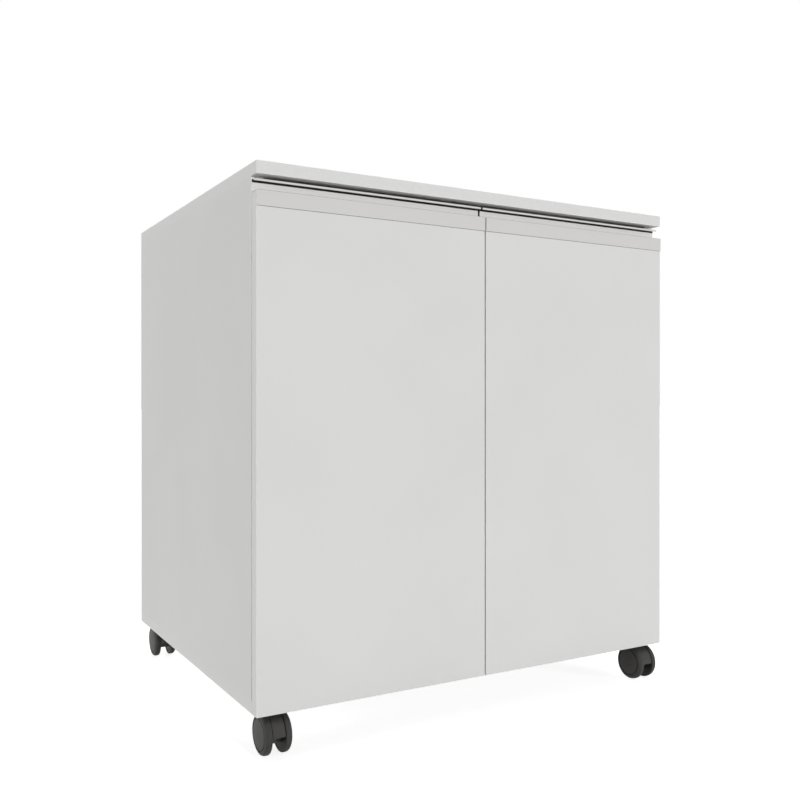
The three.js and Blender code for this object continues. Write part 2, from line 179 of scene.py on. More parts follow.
def chipboard_core():
    """Raw particle board, as the drill and the saw leave it in holes and grooves: rough tan chips."""
    material, tree = blank_material("raw_particle_board")
    place = add_node(tree, "ShaderNodeTexCoord").outputs["Object"]
    chips = add_node(tree, "ShaderNodeTexVoronoi", {"Scale": per_mm(1.8)}, {"Vector": place})
    dust = add_node(tree, "ShaderNodeTexNoise", {"Scale": per_mm(0.7), "Detail": 3}, {"Vector": place})
    tone = add_node(tree, "ShaderNodeValToRGB", links={"Fac": chips.outputs["Color"]},
                    stops=((0.1, "#9a7b55"), (0.9, "#cdb38a")))
    relief = add_node(tree, "ShaderNodeBump", {"Strength": 0.9, "Distance": 0.25 * MM},
                      {"Height": dust.outputs["Fac"]})
    shader = add_node(tree, "ShaderNodeBsdfPrincipled", {"IOR": 1.45, "Roughness": 0.92},
                      {"Base Color": tone.outputs["Color"], "Normal": relief.outputs["Normal"]})
    add_node(tree, "ShaderNodeOutputMaterial", links={"Surface": shader.outputs["BSDF"]})
    return material


def lacquered_hardboard():
    """White-lacquered hardboard: smooth, matt, with the felted fibre's soft dapple under the paint."""
    material, tree = blank_material("lacquered_hardboard")
    place = add_node(tree, "ShaderNodeTexCoord").outputs["Object"]
    fibre = add_node(tree, "ShaderNodeTexNoise", {"Scale": per_mm(3), "Detail": 4, "Roughness": 0.7},
                     {"Vector": place})
    end_material(tree, tint=fibre, stops=((0.3, "#dbdad7"), (0.7, "#e0dfdd")), grain=fibre,
                 roughness=(0.5, 0.68), bump=(0.5, 0.04), values={"IOR": 1.48})
    return material


# Materials of the metal parts

def powder_coat(name, dark, light):
    """Polyester powder on extruded aluminium: fine orange peel under a satin sheen, between two tones.

    The peel's cells are about 1.5 mm wide.
    """
    material, tree = blank_material(name)
    place = add_node(tree, "ShaderNodeTexCoord").outputs["Object"]
    peel = add_node(tree, "ShaderNodeTexNoise", {"Scale": per_mm(1.5), "Detail": 1}, {"Vector": place})
    end_material(tree, tint=peel, stops=((0.3, dark), (0.7, light)), grain=peel, roughness=(0.54, 0.64),
                 bump=(0.5, 0.02), values={"IOR": 1.5})
    return material


def bright_aluminium():
    """Extruded aluminium, polished and clear anodised: bright and soft, with fine die lines along its length.

    The die lines are under 0.1 mm apart. They are drawn 0.6 mm apart and 60 mm long.
    """
    material, tree = blank_material("bright_anodised_aluminium")
    place = add_node(tree, "ShaderNodeTexCoord").outputs["Object"]
    along = add_node(tree, "ShaderNodeMapping", {"Scale": (0.01, 1, 1)}, {"Vector": place})
    lines = add_node(tree, "ShaderNodeTexNoise", {"Scale": per_mm(0.6), "Detail": 3},
                     {"Vector": along.outputs["Vector"]})
    end_material(tree, tint=lines, stops=((0.3, "#d5d4d2"), (0.7, "#dddcda")), grain=lines,
                 roughness=(0.3, 0.42), bump=(0.3, 0.01), values={"Metallic": 1})
    return material


def clouded_metal(name, dark, light, cloud, roughness):
    """Metal with a faintly cloudy skin. cloud is the width of its clouds in millimetres.

    Nickel plate is warm and even, and zinc plate is bluish and cloudier. The dull dark grey inside a lip's
    channel is painted shade.
    """
    material, tree = blank_material(name)
    place = add_node(tree, "ShaderNodeTexCoord").outputs["Object"]
    skin = add_node(tree, "ShaderNodeTexNoise", {"Scale": per_mm(cloud), "Detail": 4}, {"Vector": place})
    end_material(tree, tint=skin, stops=((0.3, dark), (0.7, light)), grain=skin, roughness=roughness,
                 bump=(0.3, 0.02), values={"Metallic": 1})
    return material


# Materials of the casters, and of the dark strips painted as shade

def moulded_plastic(name, dark, light, grain, roughness, ior):
    """Dark moulded plastic with a fine matt grain, which greys where it catches light, and the same for the
    dark strips of painted shade.

    grain is the grain's width in millimetres, drawn a little coarser than the real 0.1 mm.
    """
    material, tree = blank_material(name)
    place = add_node(tree, "ShaderNodeTexCoord").outputs["Object"]
    flow = add_node(tree, "ShaderNodeTexNoise", {"Scale": per_mm(14), "Detail": 2}, {"Vector": place})
    fine = add_node(tree, "ShaderNodeTexNoise", {"Scale": per_mm(grain), "Detail": 3}, {"Vector": place})
    end_material(tree, tint=flow, stops=((0.3, dark), (0.7, light)), grain=fine, roughness=roughness,
                 bump=(0.4, 0.03), values={"IOR": ior})
    return material


MELAMINE = melamine_board()
BAND = edge_band()
# Painted highlight: the boards' eased edges get this lighter colour.
HIGHLIGHT_RIM_PAINT = painted_highlight_rim()
CORE = chipboard_core()
HARDBOARD = lacquered_hardboard()
POWDER = powder_coat("grey_powder_coat", "#d5d4d2", "#d8d7d5")
# Painted light: the upstand's front is painted paler to make up for the shade in its recess.
UPSTAND_PAINTED_LIGHT = powder_coat("upstand_coat_painted_light", "#e4e3e1", "#e7e6e4")
# Painted shade: a dark grey line along the cap's upper front edge.
CREST_PAINTED_SHADE = powder_coat("crest_coat_painted_shade", "#747473", "#7c7c7b")
BRIGHT = bright_aluminium()
# Painted shade: the dark grey inside the lips' channels.
LIP_CHANNEL_PAINTED_SHADE = clouded_metal("lip_channel_metal_painted_shade", "#4a4b4d", "#57585a", cloud=3, roughness=(0.55, 0.7))
NICKEL = clouded_metal("nickel_plated_steel", "#b4b1ab", "#c3c0ba", cloud=9, roughness=(0.22, 0.36))
ZINC = clouded_metal("zinc_plated_steel", "#82868a", "#989ca0", cloud=5, roughness=(0.35, 0.55))
NYLON = moulded_plastic("moulded_nylon_housing", "#343332", "#383736", grain=0.8, roughness=(0.45, 0.6),
                        ior=1.53)
WHEEL = moulded_plastic("moulded_wheel_plastic", "#302f2e", "#353432", grain=0.7, roughness=(0.45, 0.6),
                        ior=1.49)
# Painted shade: dark strips under the lips and under the caps' front flanges.
SHADE_STRIP_PAINT = moulded_plastic("dark_strip_painted_shade", "#323232", "#373737", grain=1.2, roughness=(0.5, 0.65),
                          ior=1.41)


# Shapes

CIRCLE = 2 * math.pi
FLAT = math.radians(1)
SHARP_FROM = math.radians(40)
SMOOTH_UP_TO = math.radians(35)
CORNER_SEGMENTS = 5
TURN_STEPS = 48
ROD_STEPS = 32


def box_middle(node):
    low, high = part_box(node)
    return (low + high) / 2


def merged_copy(node):
    """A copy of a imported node's mesh with its loose triangles joined into whole faces."""
    shape = bmesh.new()
    shape.from_mesh(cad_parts[node].data)
    bmesh.ops.remove_doubles(shape, verts=shape.verts, dist=WELD)
    bmesh.ops.dissolve_limit(shape, angle_limit=FLAT, verts=shape.verts, edges=shape.edges)
    return shape


def reach_along_x(edge):
    near, far = edge.verts
    return abs(near.co.x - far.co.x)


def sharp_edges(shape):
    """The outward edges that are sharp enough to be rounded."""
    return [e for e in shape.edges if e.is_convex and e.calc_face_angle(0) > SHARP_FROM]


def ease(shape, edges, radius, segments):
    """Rounds these edges by a radius in millimetres, and returns the rounded faces."""
    made = bmesh.ops.bevel(shape, geom=list(edges), offset=radius * MM, offset_type="OFFSET",
                           affect="EDGES", segments=segments, profile=0.5, material=-1)
    for face in made["faces"]:
        face.smooth = True
    return made["faces"]


def round_corners(shape, corners):
    """Rounds the corners of an outline, given as pairs of a vertex and a radius in millimetres."""
    for vertex, radius in corners:
        bmesh.ops.bevel(shape, geom=[vertex], offset=radius * MM, offset_type="OFFSET",
                        affect="VERTICES", segments=CORNER_SEGMENTS, profile=0.5, material=-1)


def made_vertices(items):
    return [item for item in items if isinstance(item, bmesh.types.BMVert)]


def thicken(shape, step):
    """Makes a flat outline a closed solid, whose other side is one step away."""
    made = bmesh.ops.extrude_face_region(shape, geom=shape.faces[:])
    bmesh.ops.translate(shape, vec=step, verts=made_vertices(made["geom"]))
    bmesh.ops.recalc_face_normals(shape, faces=shape.faces)


def turned(outline, steps=TURN_STEPS):
    """A solid turned about X from its half section.

    Each point gives its place along X, its radius and how far its corner is rounded, in millimetres.
    """
    shape = bmesh.new()
    points = [shape.verts.new((along * MM, 0, radius * MM)) for along, radius, _ in outline]
    for pair in zip(points, points[1:]):
        shape.edges.new(pair)
    round_corners(shape, [(point, rounding) for point, (_, _, rounding) in zip(points, outline) if rounding])
    bmesh.ops.spin(shape, geom=shape.verts[:] + shape.edges[:], cent=(0, 0, 0), axis=X,
                   angle=CIRCLE, steps=steps, use_merge=True, use_duplicate=False)
    bmesh.ops.remove_doubles(shape, verts=shape.verts, dist=WELD)
    bmesh.ops.recalc_face_normals(shape, faces=shape.faces)
    return shape


def rod(start, end, radius, steps=ROD_STEPS):
    """A plain rod from one place along X to another, to cut with."""
    return turned(((start, 0, 0), (start, radius, 0), (end, radius, 0), (end, 0, 0)), steps)


def bar(along_x, along_y, along_z):
    """A box about the origin, with its three sizes in millimetres."""
    shape = bmesh.new()
    bmesh.ops.create_cube(shape, size=MM)
    bmesh.ops.scale(shape, vec=(along_x, along_y, along_z), verts=shape.verts)
    return shape


def aim(shape, towards, place):
    """Turns a shape's +X to a direction and moves its origin to a place."""
    turn = X.rotation_difference(towards).to_matrix().to_4x4()
    bmesh.ops.transform(shape, matrix=Matrix.Translation(place) @ turn, verts=shape.verts)
    return shape


def boolean(shape, tool, operation):
    """A shape joined with or cut by another one. Both are used up."""
    parts = []
    for part in (shape, tool):
        mesh = bpy.data.meshes.new("part")
        part.to_mesh(mesh)
        part.free()
        parts.append(bpy.data.objects.new("part", mesh))
        bpy.context.scene.collection.objects.link(parts[-1])
    modifier = parts[0].modifiers.new("boolean", "BOOLEAN")
    modifier.object = parts[1]
    modifier.operation = operation
    modifier.solver = "EXACT"
    result = bmesh.new()
    result.from_object(parts[0], bpy.context.evaluated_depsgraph_get())
    for mesh in [part.data for part in parts]:
        bpy.data.meshes.remove(mesh)
    return result


def together(shapes):
    """One bmesh that holds several, which are used up."""
    whole = bmesh.new()
    for shape in shapes:
        mesh = bpy.data.meshes.new("part")
        shape.to_mesh(mesh)
        shape.free()
        whole.from_mesh(mesh)
        bpy.data.meshes.remove(mesh)
    return whole


def make_piece(shape, name, materials, body, stands_for=(), rounded=False):
    """Makes a piece of a bmesh: its place is in its mesh, and it rides on its body.

    A rounded piece is shaded smooth, but for its sharp edges.
    """
    mesh = bpy.data.meshes.new(name)
    shape.to_mesh(mesh)
    shape.free()
    for material in materials:
        mesh.materials.append(material)
    piece = bpy.data.objects.new(name, mesh)
    bpy.context.scene.collection.objects.link(piece)
    if rounded:
        mesh.shade_smooth()
        mesh.set_sharp_from_angle(angle=SMOOTH_UP_TO)
        piece.modifiers.new("even_shading", "WEIGHTED_NORMAL").keep_sharp = True
    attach(piece, body)
    if stands_for:
        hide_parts(*stands_for)


# Screws

HEAD_STEPS = 24
CROSS_LENGTH, CROSS_WIDTH, CROSS_TAPER = 3.6, 0.8, 0.55
PAN_RADIUS, PAN_HEIGHT, PAN_RECESS = 3.1, 1.6, 1.0
PAN_RIM, PAN_CROWN_RADIUS, PAN_CROWN = 0.7, 1.9, 0.1
PAN_SUNK = 0.3
CONE_RADIUS, CONE_DEPTH, CONE_RECESS = 3.7, 1.7, 1.1
CONE_FOOT_RADIUS, CONE_RIM, CONE_SLOPE = 2.1, 0.1, 0.2


def cross_recess(top, depth):
    """The two tapered wings of a cross recess, which go down from a head's top, in millimetres along X."""
    wings = []
    for sizes in ((CROSS_LENGTH, CROSS_WIDTH), (CROSS_WIDTH, CROSS_LENGTH)):
        wing = bar(2 * depth, *sizes)
        bmesh.ops.translate(wing, vec=X * top * MM, verts=wing.verts)
        deep = [v for v in wing.verts if v.co.x < top * MM]
        bmesh.ops.scale(wing, vec=(1, CROSS_TAPER, CROSS_TAPER), verts=deep)
        wings.append(wing)
    return boolean(*wings, "UNION")


def pan_head():
    """A pan head that stands on the origin towards +X, its foot a little sunk in what it holds."""
    head = turned((
        (-PAN_SUNK, 0, 0),
        (-PAN_SUNK, PAN_RADIUS, 0),
        (PAN_RIM, PAN_RADIUS, 0.5),
        (PAN_HEIGHT - PAN_CROWN, PAN_CROWN_RADIUS, 1.0),
        (PAN_HEIGHT, 0, 0),
    ), HEAD_STEPS)
    return boolean(head, cross_recess(PAN_HEIGHT, PAN_RECESS), "DIFFERENCE")


def countersunk_head():
    """A countersunk head, whose flat face is just past the origin towards +X."""
    head = turned((
        (-CONE_DEPTH, 0, 0),
        (-CONE_DEPTH, CONE_FOOT_RADIUS, 0),
        (-CONE_RIM, CONE_RADIUS, 0.1),
        (CONE_RIM, CONE_RADIUS - CONE_SLOPE, 0.1),
        (CONE_RIM, 0, 0),
    ), HEAD_STEPS)
    return boolean(head, cross_recess(CONE_RIM, CONE_RECESS), "DIFFERENCE")


# Boards, whose faces are of four kinds

FACE, EDGE, CUT, CORNER = range(4)
BOARD_MATERIALS = (MELAMINE, BAND, CORE, HIGHLIGHT_RIM_PAINT)
BAND_RADIUS, BAND_SEGMENTS = 0.6, 3


def outer_planes(point, low, high):
    """The axes along which a point lies on the outside of a box."""
    return [a for a in range(3) if min(abs(point[a] - low[a]), abs(point[a] - high[a])) < NEAR]


def runs_in_joint(edge):
    """Whether an edge runs from front to back where a side panel meets the top or the bottom panel flush."""
    near, far = (vertex.co for vertex in edge.verts)
    if abs(near.y - far.y) < WELD or (near - far).length - abs(near.y - far.y) > WELD:
        return False
    return any(abs(near.z - end.z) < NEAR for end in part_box("left_side_panel"))


def on_rim(edge, low, high):
    """Whether an edge of a board lies where two sides of its box meet, and isn't in a joint."""
    near, far = (vertex.co for vertex in edge.verts)
    return len(outer_planes((near + far) / 2, low, high)) == 2 and not runs_in_joint(edge)


def make_board(node, body):
    """A board with banded, eased edges. What is cut into it shows the raw core."""
    low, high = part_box(node)
    thin = min(range(3), key=lambda axis: high[axis] - low[axis])
    shape = merged_copy(node)
    rim = [e for e in sharp_edges(shape) if on_rim(e, low, high)]
    # The eased rim faces take the lighter colour of painted highlight.
    for face in ease(shape, rim, BAND_RADIUS, BAND_SEGMENTS):
        face.material_index = CORNER
    for face in shape.faces:
        if face.smooth:
            continue
        planes = outer_planes(face.calc_center_median(), low, high)
        face.material_index = CUT if not planes else FACE if thin in planes else EDGE
    make_piece(shape, f"{node}_board", BOARD_MATERIALS, body, [node])


def make_boards():
    for node in ("top_panel", "bottom_panel", "left_side_panel", "right_side_panel", "shelf"):
        make_board(node, "carcass")
    for side in SIDES:
        make_board(f"{side}_door_panel", f"{side}_door")
    make_piece(merged_copy("back_panel"), "back_panel_sheet", (HARDBOARD,), "carcass",
               ["back_panel"])


# Pull profiles, whose surfaces are of four kinds, and their lips

COAT, UPSTAND, CREST, SHADE_STRIP = range(4)
PROFILE_MATERIALS = (POWDER, UPSTAND_PAINTED_LIGHT, CREST_PAINTED_SHADE, SHADE_STRIP_PAINT)
POLISHED, CHANNEL_INSIDE = range(2)
LIP_MATERIALS = (BRIGHT, LIP_CHANNEL_PAINTED_SHADE)
PROFILE_WALL, FLANGE_THICKNESS = 1.2, 1
PROFILE_RADIUS, LIP_RADIUS, PROFILE_SEGMENTS = 0.3, 0.45, 4
LIP_DROP = 0.3
CHANNEL_FROM = 0.5
LIP_SHADE_HEIGHT, FLANGE_SHADE_HEIGHT = 2.9, 0.35
SHADE_STRIP_THICKNESS, SHADE_STRIP_CLEARANCE = 0.25, 0.1
TRIM, TRIM_REACH = 0.45, 0.2
LONG_EDGE = 100


def ease_lengthwise(shape, radius):
    """Rounds the sharp edges that run along a profile."""
    along = [e for e in sharp_edges(shape) if reach_along_x(e) > LONG_EDGE * MM]
    ease(shape, along, radius, PROFILE_SEGMENTS)


def trim_end(shape, side):
    """Trims the upstand, its strip of painted shade and the lip at their end next to the other door."""
    low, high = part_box(f"{side}_pull_profile")
    end = high.x if side == "left" else low.x
    for vertex in shape.verts:
        if abs(vertex.co.x - end) < TRIM_REACH * MM and vertex.co.y > (low.y + high.y) / 2:
            vertex.co.x += SIDES[side] * TRIM * MM


def surface_kind(face, low, high):
    """What a face of a profile is: the upstand's front, the crest of the cap's front, or plain coat.

    The crest is the rounded upper edge of the cap's front, painted grey as a line of painted shade. The
    upstand's front is painted paler as painted light.
    """
    middle = face.calc_center_median()
    if middle.z <= (low.z + high.z) / 2:
        return COAT
    # The upstand's front takes the paler coat of painted light.
    if face.normal.y < -FACING and middle.y > (low.y + high.y) / 2:
        return UPSTAND
    return CREST if face.smooth and middle.y < low.y + PROFILE_RADIUS * MM else COAT


def painted_shade_strip(low, high, wall, top, height):
    """A dark strip of painted shade along a profile, on the front of a wall.

    wall is that front's place along Y and top is the strip's along Z, in metres. height is in millimetres.
    """
    length = (high.x - low.x) / MM - 2 * SHADE_STRIP_CLEARANCE
    shade_strip = bar(length, SHADE_STRIP_THICKNESS, height)
    middle = Vector(((low.x + high.x) / 2, wall - SHADE_STRIP_THICKNESS * MM / 2, top - height * MM / 2))
    bmesh.ops.translate(shade_strip, vec=middle, verts=shade_strip.verts)
    for face in shade_strip.faces:
        face.material_index = SHADE_STRIP
    return shade_strip


def make_pull_profile(side):
    """The cap on a door's top edge and the upstand behind it.

    A dark strip of painted shadow lies on the upstand under the lip, and another in the joint under the cap's
    front flange.
    """
    node = f"{side}_pull_profile"
    low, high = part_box(node)
    shape = merged_copy(node)
    ease_lengthwise(shape, PROFILE_RADIUS)
    for face in shape.faces:
        face.material_index = surface_kind(face, low, high)
    # Painted shadow under the lip, and painted shade under the front flange.
    lip_shade_strip = painted_shade_strip(low, high, high.y - PROFILE_WALL * MM, high.z - SHADE_STRIP_CLEARANCE * MM, LIP_SHADE_HEIGHT)
    joint = painted_shade_strip(low, high, low.y + FLANGE_THICKNESS * MM, low.z, FLANGE_SHADE_HEIGHT)
    shape = together((shape, lip_shade_strip, joint))
    trim_end(shape, side)
    make_piece(shape, f"{node}_extrusion", PROFILE_MATERIALS, f"{side}_door", [node])


def inside_lip(face, low, high):
    """Whether a face of a lip is inside its channel, which is painted dark grey as painted shade.

    Such a face is CHANNEL_FROM or more inside the lip's box, and looks down or back.
    """
    middle = face.calc_center_median()
    roof = face.normal.z < -FACING and middle.z > low.z + CHANNEL_FROM * MM
    wall = face.normal.y > FACING and middle.y < high.y - CHANNEL_FROM * MM
    return roof or wall


def make_pull_lip(side):
    """The bright channel over an upstand. Its top and the edge that fingers pull sit a little lower on it."""
    node = f"{side}_pull_lip"
    low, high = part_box(node)
    shape = merged_copy(node)
    for vertex in shape.verts:
        if min(abs(vertex.co.z - low.z), abs(vertex.co.z - high.z)) < WELD:
            vertex.co.z -= LIP_DROP * MM
    ease_lengthwise(shape, LIP_RADIUS)
    for face in shape.faces:
        # Faces inside the channel take the dark grey of painted shade.
        face.material_index = CHANNEL_INSIDE if inside_lip(face, low, high) else POLISHED
    trim_end(shape, side)
    make_piece(shape, f"{node}_extrusion", LIP_MATERIALS, f"{side}_door", [node])


def make_pulls():
    for side in SIDES:
        make_pull_profile(side)
        make_pull_lip(side)


# Hinges

CUP_RADIUS, CUP_DEPTH, CUP_WALL = 17.5, 11.5, 1.2
CUP_FLANGE_RADIUS, CUP_FLANGE = 20.5, 1.0
CUP_STEPS = 64
WING_LENGTH, WING_WIDTH, WING_THICKNESS, WING_OFFSET = 62, 13, 0.9, 6
WING_CORNER, WING_SEGMENTS = 5, 6
HINGE_PLATE_THICKNESS = 3
# How far each screw is from the middle of its cup or plate, or from the arm's front
WING_SCREW, HINGE_PLATE_SCREW = 24, 16
ARM_SCREWS = (18, 55)
PRESSED_RADII = {"arm": 0.9, "plate": 0.5}
PRESSED_SEGMENTS = 3


def hinge_cup(lean):
    """A drawn steel cup that opens towards +X, its flange on the origin, and the wings that hold it.

    Aimed at +Y, the wings stand off the cup's middle to the right if lean is 1, or to the left if it is -1.
    """
    inside = CUP_RADIUS - CUP_WALL
    cup = turned((
        (-CUP_DEPTH, 0, 0),
        (-CUP_DEPTH, CUP_RADIUS, 1.6),
        (0, CUP_RADIUS, 0.2),
        (0, CUP_FLANGE_RADIUS, 0),
        (CUP_FLANGE, CUP_FLANGE_RADIUS, 0.4),
        (CUP_FLANGE, inside, 0.6),
        (CUP_WALL - CUP_DEPTH, inside, 1.2),
        (CUP_WALL - CUP_DEPTH, 0, 0),
    ), CUP_STEPS)
    wings = bar(WING_THICKNESS, WING_WIDTH, WING_LENGTH)
    aside = Vector((WING_THICKNESS / 2, -lean * WING_OFFSET, 0))
    bmesh.ops.translate(wings, vec=aside * MM, verts=wings.verts)
    corners = [e for e in wings.edges if reach_along_x(e) > WELD]
    bmesh.ops.bevel(wings, geom=corners, offset=WING_CORNER * MM, offset_type="OFFSET", affect="EDGES",
                    segments=WING_SEGMENTS, profile=0.5, material=-1)
    opening = rod(-CUP_DEPTH, 2 * CUP_FLANGE, CUP_RADIUS - CUP_WALL / 2, CUP_STEPS)
    return boolean(cup, boolean(wings, opening, "DIFFERENCE"), "UNION")


def arm_screws(name, sign):
    """The side and depth screws in the arm's crest, on the shelf side."""
    low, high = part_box(f"{name}_arm")
    crest = Vector((low.x if sign > 0 else high.x, low.y, (low.z + high.z) / 2))
    return [aim(pan_head(), -sign * X, crest + Y * back * MM) for back in ARM_SCREWS]


def plate_screws(name, sign):
    """The two screws in the plate's wings, above and below the arm."""
    low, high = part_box(f"{name}_plate")
    wing = box_middle(f"{name}_plate")
    wing.x = (high.x if sign > 0 else low.x) - sign * HINGE_PLATE_THICKNESS * MM
    return [aim(pan_head(), -sign * X, wing + Z * up * HINGE_PLATE_SCREW * MM) for up in (-1, 1)]


def make_hinge(name, door, sign):
    """The cup with its wings and screws in the door, and the arm on its plate, screwed to the side panel."""
    middle = box_middle(f"{name}_cup")
    middle.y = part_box(f"{name}_cup")[1].y - CUP_FLANGE * MM
    cup = aim(hinge_cup(-sign), Y, middle)
    make_piece(cup, f"{name}_drawn_cup", (NICKEL,), door, [f"{name}_cup"], True)
    wing = middle + Vector((-sign * WING_OFFSET, CUP_FLANGE, 0)) * MM
    heads = [aim(pan_head(), Y, wing + Z * up * WING_SCREW * MM) for up in (-1, 1)]
    make_piece(together(heads), f"{name}_cup_screws", (NICKEL,), door, rounded=True)
    for part, radius in PRESSED_RADII.items():
        shape = merged_copy(f"{name}_{part}")
        ease(shape, sharp_edges(shape), radius, PRESSED_SEGMENTS)
        make_piece(shape, f"{name}_{part}_pressing", (NICKEL,), "carcass", [f"{name}_{part}"])
    heads = arm_screws(name, sign) + plate_screws(name, sign)
    make_piece(together(heads), f"{name}_carcass_screws", (NICKEL,), "carcass", rounded=True)


def make_hinges():
    for side, sign in SIDES.items():
        for level in LEVELS:
            make_hinge(f"{level}_{side}_hinge", f"{side}_door", sign)


# Shelf pins

PIN_RADIUS, PIN_SEGMENTS = 0.3, 2


def make_shelf_pins():
    for end in ENDS:
        for side in SIDES:
            node = f"{end}_{side}_shelf_pin"
            shape = merged_copy(node)
            ease(shape, sharp_edges(shape), PIN_RADIUS, PIN_SEGMENTS)
            make_piece(shape, f"{node}_casting", (NICKEL,), "carcass", [node])


# Casters: the wheels

WHEEL_STEPS = 96
WHEEL_RADIUS, WHEEL_WIDTH = 24, 9.5
BORE_RADIUS, BORE_DEPTH = 3.3, 6.9
HUB_RING, HUB_SLOPE = 7, 0.4
INNER_RIM, INNER_SLOPE, INNER_RECESS = 2.8, 0.6, 0.5
TREAD_CHAMFER, TREAD_START, TREAD_WIDTH = 0.6, 0.9, 4.6
SHOULDER, SHOULDER_DROP, SHOULDER_SLOPE = 1, 2.0, 0.5
CAP_RADIUS, CAP_DOME = 18.3, 0.25
GROOVE_DEPTH = 1.5
# How far from the cap's radius the groove's sides are, inside and outside, at its mouth and its floor
GROOVE_MOUTH = (0.55, 0.75)
GROOVE_FLOOR = (0.3, 0.45)


def twin_wheel():
    """One wheel: a shallow dome inside a groove faces +X, and its flat inner face is on the origin."""
    shoulder = WHEEL_WIDTH - SHOULDER
    inner_rim = WHEEL_RADIUS - INNER_RIM
    return turned((
        (BORE_DEPTH, 0, 0),
        (BORE_DEPTH, BORE_RADIUS, 0),
        (0, BORE_RADIUS, 0.3),
        (0, HUB_RING, 0.2),
        (INNER_RECESS, HUB_RING + HUB_SLOPE, 0.2),
        (INNER_RECESS, inner_rim - INNER_SLOPE, 0.3),
        (0, inner_rim, 0.3),
        (0, WHEEL_RADIUS - TREAD_CHAMFER, 0.3),
        (TREAD_CHAMFER, WHEEL_RADIUS, 0.5),
        (TREAD_START + TREAD_WIDTH, WHEEL_RADIUS, 1.5),
        (shoulder - SHOULDER_SLOPE, WHEEL_RADIUS - SHOULDER_DROP, 1.8),
        (shoulder, CAP_RADIUS + GROOVE_MOUTH[1], 0.2),
        (shoulder - GROOVE_DEPTH, CAP_RADIUS + GROOVE_FLOOR[1], 0),
        (shoulder - GROOVE_DEPTH, CAP_RADIUS - GROOVE_FLOOR[0], 0),
        (shoulder, CAP_RADIUS - GROOVE_MOUTH[0], 0.15),
        (WHEEL_WIDTH - CAP_DOME, CAP_RADIUS / 2, 2.5),
        (WHEEL_WIDTH, 0, 0),
    ), WHEEL_STEPS)


# Casters: the housing

AXLE_RADIUS, AXLE_ROUNDING = 3, 0.5
TRAIL = 17
HOUSING_WIDTH = 15.8
HOUSING_ROUNDING, HOUSING_SEGMENTS = 0.7, 4
HOOD_INSET, HOOD_ARC = 1.3, 90
HOOD_RADIUS = WHEEL_RADIUS - HOOD_INSET
HUB_RADIUS, HUB_START, HUB_ARC = 12.5, 200, 160
BOSS_RADIUS, BOSS_HEIGHT = 9, 15
BACK_CORNER, FOOT_CORNER, HOOD_CORNER = 5, 3, 1.2
ARC_STEP = 4
BORE_CLEARANCE = 0.1
SOCKET_FLOOR = 33.8
KINGPIN_RADIUS, KINGPIN_LENGTH = 4, 15
KINGPIN_FLANGE_RADIUS, KINGPIN_FLANGE = 7, 1.2


def swing(shape, vertex, centre, degrees):
    """Draws an arc of edges from a vertex about +X, and returns the vertex at its end."""
    made = bmesh.ops.spin(shape, geom=[vertex], cent=centre, axis=X, angle=math.radians(degrees),
                          steps=degrees // ARC_STEP)
    return made_vertices(made["geom_last"])[0]


def housing():
    """The housing between a caster's wheels, trailing towards +Y: the hood, the swivel's boss and the hub.

    The axle's bore goes through the hub, and the kingpin's socket is open at the boss's top.
    """
    shape = bmesh.new()
    side = -X * HOUSING_WIDTH / 2
    axle = side + Y * TRAIL + Z * WHEEL_RADIUS
    hood = shape.verts.new((axle + Y * HOOD_RADIUS) * MM)
    crown = swing(shape, hood, axle * MM, HOOD_ARC)
    back = shape.verts.new((side - Y * BOSS_RADIUS + Z * (WHEEL_RADIUS + HOOD_RADIUS)) * MM)
    foot = shape.verts.new((side - Y * BOSS_RADIUS + Z * (WHEEL_RADIUS + HOOD_RADIUS - BOSS_HEIGHT)) * MM)
    lean = Matrix.Rotation(math.radians(HUB_START), 3, "X") @ Y
    hub = shape.verts.new((axle + lean * HUB_RADIUS) * MM)
    lip = swing(shape, hub, axle * MM, HUB_ARC)
    for pair in ((crown, back), (back, foot), (foot, hub), (lip, hood)):
        shape.edges.new(pair)
    round_corners(shape, ((back, BACK_CORNER), (foot, FOOT_CORNER), (hood, HOOD_CORNER)))
    bmesh.ops.contextual_create(shape, geom=shape.edges[:])
    thicken(shape, X * HOUSING_WIDTH * MM)
    rim = [e for e in sharp_edges(shape) if reach_along_x(e) < WELD]
    ease(shape, rim, HOUSING_ROUNDING, HOUSING_SEGMENTS)
    bore = rod(-HOUSING_WIDTH, HOUSING_WIDTH, AXLE_RADIUS + BORE_CLEARANCE)
    shape = boolean(shape, aim(bore, X, (axle - side) * MM), "DIFFERENCE")
    socket = rod(0, 2 * HOUSING_WIDTH, KINGPIN_RADIUS + BORE_CLEARANCE)
    return boolean(shape, aim(socket, Z, Z * SOCKET_FLOOR * MM), "DIFFERENCE")


# Casters: the plate, its screws and the kingpin

PLATE_CORNER, PLATE_SEGMENTS = 4, 6
PLATE_ROUNDING, PLATE_ROUNDING_SEGMENTS = 0.4, 3
PLATE_SCREW_REACH = 13.5
HOLE_RADIUS, HOLE_DEPTH = 2.2, 3
SINK_RADIUS, SINK_DEPTH, SINK_OVERRUN = 4.2, 1.8, 0.4


